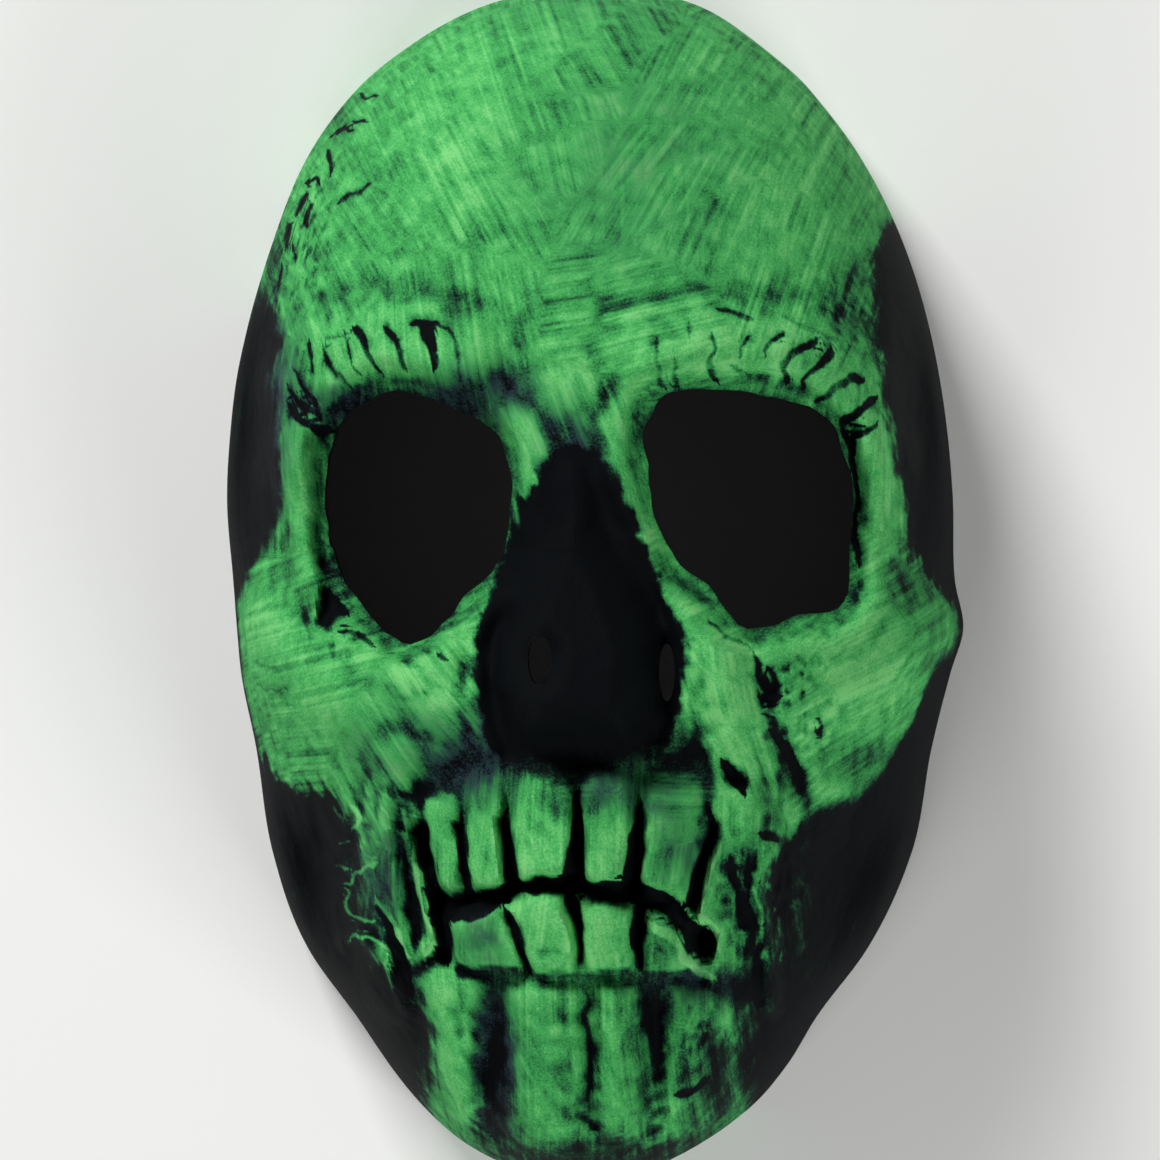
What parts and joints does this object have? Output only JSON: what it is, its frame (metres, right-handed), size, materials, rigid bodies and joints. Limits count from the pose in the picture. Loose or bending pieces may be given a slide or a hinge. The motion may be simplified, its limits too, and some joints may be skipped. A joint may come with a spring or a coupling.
{
  "type": "skull mask",
  "caption": "Hollow cast-latex skull face mask with open eye sockets, sculpted teeth and an elastic head strap, lying face up on its rim.",
  "frame": {"origin": "centre of the mask's box, on the plane of its rim", "axes": "+Z out of the face, +Y to the crown, +X to the right of the picture, which is the wearer's left"},
  "size_m": [0.1539, 0.248, 0.1156],
  "materials": {
    "painted_latex": "black cast latex dry-brushed with matt green luminous paint",
    "woven_elastic": "flat black woven elastic",
    "glued_patch": "plain black fabric patch"
  },
  "bodies": {
    "root": {"mask_shell": "painted_latex", "elastic_strap": "woven_elastic", "strap_tab_left": "glued_patch", "strap_tab_right": "glued_patch"}
  },
  "joints": []
}
